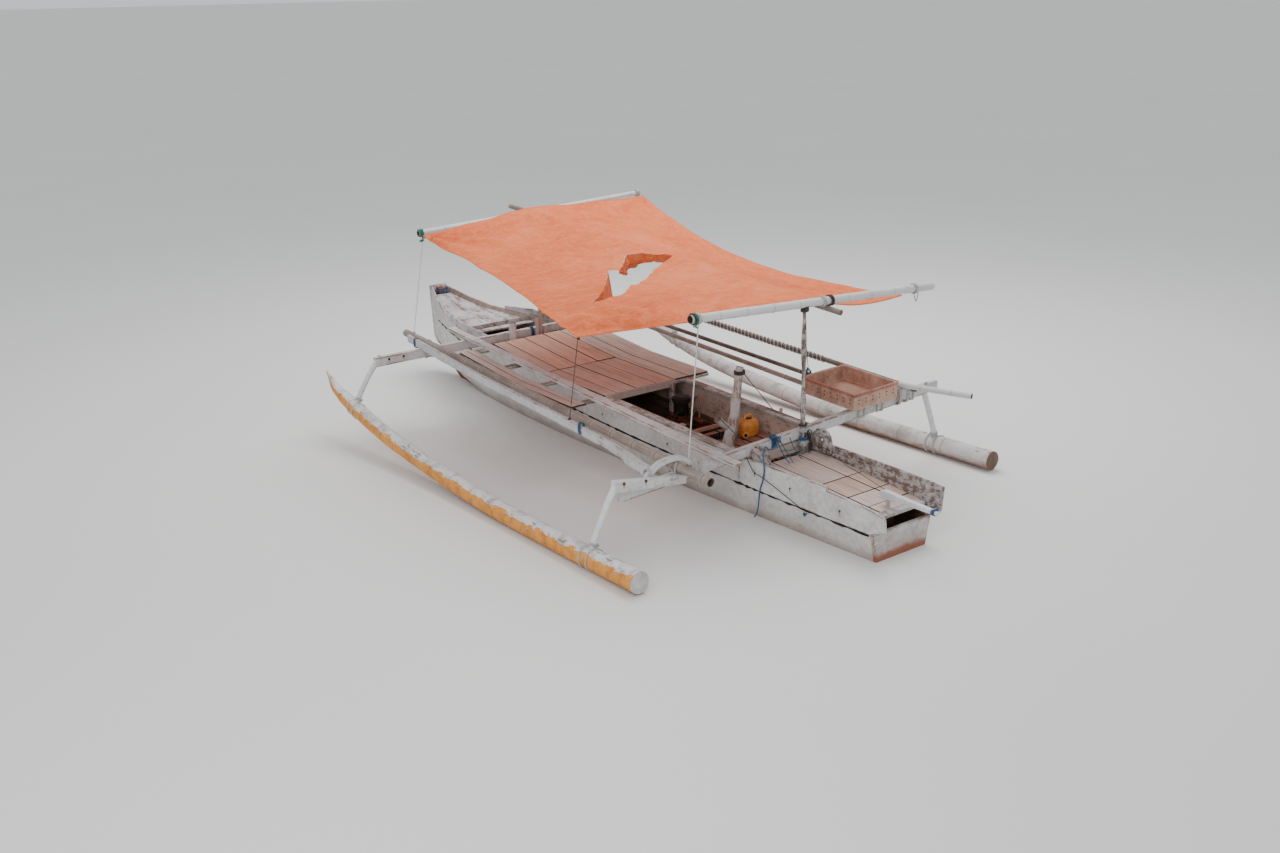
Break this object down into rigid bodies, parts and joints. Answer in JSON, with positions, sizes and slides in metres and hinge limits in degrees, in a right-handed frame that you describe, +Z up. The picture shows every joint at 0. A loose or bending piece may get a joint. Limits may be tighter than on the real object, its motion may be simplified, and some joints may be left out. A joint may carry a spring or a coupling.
{
  "type": "outrigger canoe",
  "caption": "Wooden outrigger canoe with floats on cross beams, an inboard engine, a stern tiller and a torn cloth sunshade on spars.",
  "frame": {"origin": "on the centreline amidships, at the waterline", "axes": "+Y to the bow, +X to starboard, +Z up"},
  "size_m": [3.9598, 6.992, 2.4357],
  "materials": {
    "hull_paint": "white paint over planks, peeling and stained",
    "bottom_paint": "worn red-brown bottom paint",
    "beam_paint": "white paint over timber, chipped to grey-brown wood",
    "float_paint": "white paint above, yellow and rust stain below",
    "deck_wood": "worn planks with red-brown primer",
    "bare_wood": "weathered bare wood",
    "dark_wood": "dark weathered poles",
    "bamboo": "weathered bamboo with nodes",
    "tarp": "faded orange tarpaulin",
    "crate_plastic": "sun-bleached plastic",
    "can_plastic": "orange plastic",
    "engine_iron": "rusty and oily iron",
    "steel": "dull steel",
    "rope": "worn twisted rope"
  },
  "bodies": {
    "root": {"side_planks_starboard": "hull_paint", "side_planks_port": "hull_paint", "upper_strake_starboard": "hull_paint", "upper_strake_port": "hull_paint", "washboard_starboard": "hull_paint", "washboard_port": "hull_paint", "cheek_plate_starboard": "hull_paint", "cheek_plate_port": "hull_paint", "hull_bottom": "bottom_paint", "transom": "hull_paint", "bow_head": "hull_paint", "aft_frame": "bare_wood", "post_thwart": "bare_wood", "deck_frame": "hull_paint", "centre_deck": "deck_wood", "side_deck_starboard": "deck_wood", "side_deck_port": "deck_wood", "foredeck": "hull_paint", "aft_deck": "deck_wood", "floor_boards": "deck_wood", "foredeck_coaming": "hull_paint", "fore_beam": "beam_paint", "aft_beam": "beam_paint", "beam_end_port": "beam_paint", "float_starboard": "float_paint", "float_port": "float_paint", "leg_fore_starboard": "beam_paint", "leg_fore_port": "beam_paint", "leg_aft_starboard": "beam_paint", "leg_aft_port": "beam_paint", "bamboo_port": "bamboo", "bamboo_starboard": "bamboo", "pole_starboard_middle": "dark_wood", "pole_starboard_outer": "dark_wood", "stringer_port": "beam_paint", "rail_port": "beam_paint", "beam_knee_port": "beam_paint", "short_pole_starboard": "bamboo", "engine_bed": "bare_wood", "engine_block": "engine_iron", "engine_air_cleaner": "engine_iron", "crook_post": "bare_wood", "bitt_post": "bare_wood", "spar_fore": "bamboo", "spar_aft": "bamboo", "pole_aft": "bare_wood", "pole_fore": "bare_wood", "ridge_pole": "bamboo", "canopy": "tarp", "stay_aft_port": "rope", "stay_fore_port": "rope", "stay_corner_port": "rope", "crate": "crate_plastic", "fuel_can": "can_plastic", "rope_port": "rope"},
    "propeller": {"propeller": "steel"},
    "rudder": {"rudder": "bare_wood", "tiller": "beam_paint"}
  },
  "joints": [
    {"name": "propeller_spin", "type": "hinge", "parent": "root", "child": "propeller", "pos_m": [0, -2.89, -0.33], "axis": [0, -0.9771, -0.2126], "continuous": true},
    {"name": "rudder_turn", "type": "hinge", "parent": "root", "child": "rudder", "pos_m": [0, -3.19, 0.4], "axis": [0, 0, 1], "range_deg": [-35, 35]}
  ]
}
